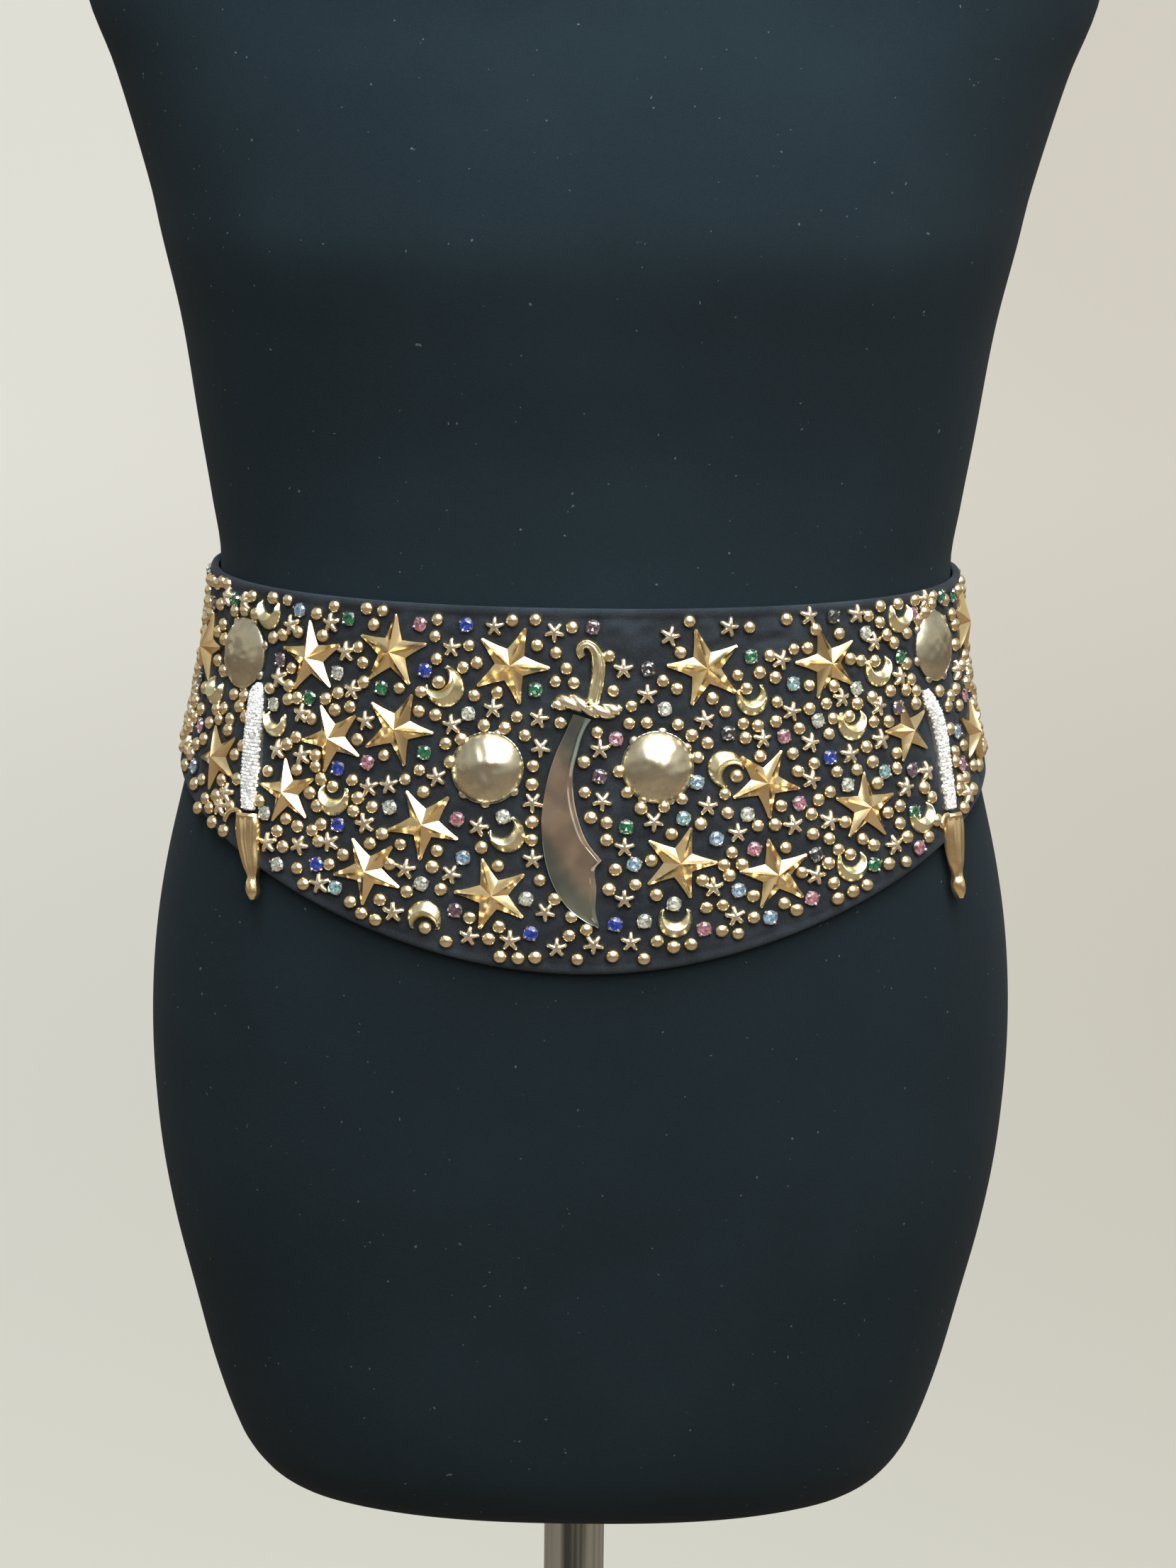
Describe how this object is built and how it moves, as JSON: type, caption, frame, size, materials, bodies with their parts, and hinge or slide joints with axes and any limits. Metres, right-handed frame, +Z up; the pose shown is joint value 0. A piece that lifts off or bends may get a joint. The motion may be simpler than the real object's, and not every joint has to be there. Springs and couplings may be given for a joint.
{
  "type": "studded belt on a dress form",
  "caption": "Wide curved cloth belt set with metal stars, crescents, domes, a curved sword and daggers, worn on a limbless dress form on a round stand.",
  "frame": {"origin": "on the floor under the middle of the round stand base", "axes": "+Z up, the front of the belt towards -Y, +X to the viewer's right"},
  "size_m": [0.408, 0.36, 1.5043],
  "materials": {
    "belt_cloth": "matte bluish-black cloth with a slight nap",
    "jersey": "matte black fine jersey",
    "gold": "polished yellow gold plate",
    "pale_gold": "polished pale gold plate, lightly worn",
    "stone_set_silver": "silver set all over with tiny clear stones",
    "stand_metal": "polished chrome"
  },
  "bodies": {
    "root": {"dress_form": "jersey", "neck_cap": "stand_metal", "stand_pole": "stand_metal", "stand_base": "stand_metal", "belt_band": "belt_cloth", "press_stud_1": "pale_gold", "press_stud_2": "pale_gold", "press_stud_3": "pale_gold", "dome_front_left": "pale_gold", "dome_front_right": "pale_gold", "dome_side_left": "pale_gold", "dome_side_right": "pale_gold", "sword_blade": "pale_gold", "sword_guard": "gold", "sword_grip": "gold", "dagger_left_handle": "stone_set_silver", "dagger_left_sheath": "gold", "dagger_right_handle": "stone_set_silver", "dagger_right_sheath": "gold", "star_a": "gold", "star_b": "gold", "star_c": "gold", "star_d": "gold", "star_e": "gold", "star_f": "gold", "star_g": "gold", "star_h": "gold", "star_i": "gold", "star_j": "gold", "star_k": "gold", "star_l": "gold", "star_m": "gold", "star_n": "gold", "star_o": "gold", "star_p": "gold", "star_q": "gold", "star_r": "gold", "star_s": "gold", "star_t": "gold", "star_back_1": "gold", "star_back_2": "gold", "star_back_3": "gold", "star_back_4": "gold", "star_back_5": "gold", "crescent_1": "gold", "crescent_2": "gold", "crescent_3": "gold", "crescent_4": "gold", "crescent_5": "gold", "crescent_6": "gold", "crescent_7": "gold", "crescent_8": "gold", "crescent_9": "gold", "crescent_10": "gold", "crescent_11": "gold", "crescent_12": "gold", "crescent_13": "gold", "crescent_14": "gold", "crescent_15": "gold"}
  },
  "joints": []
}
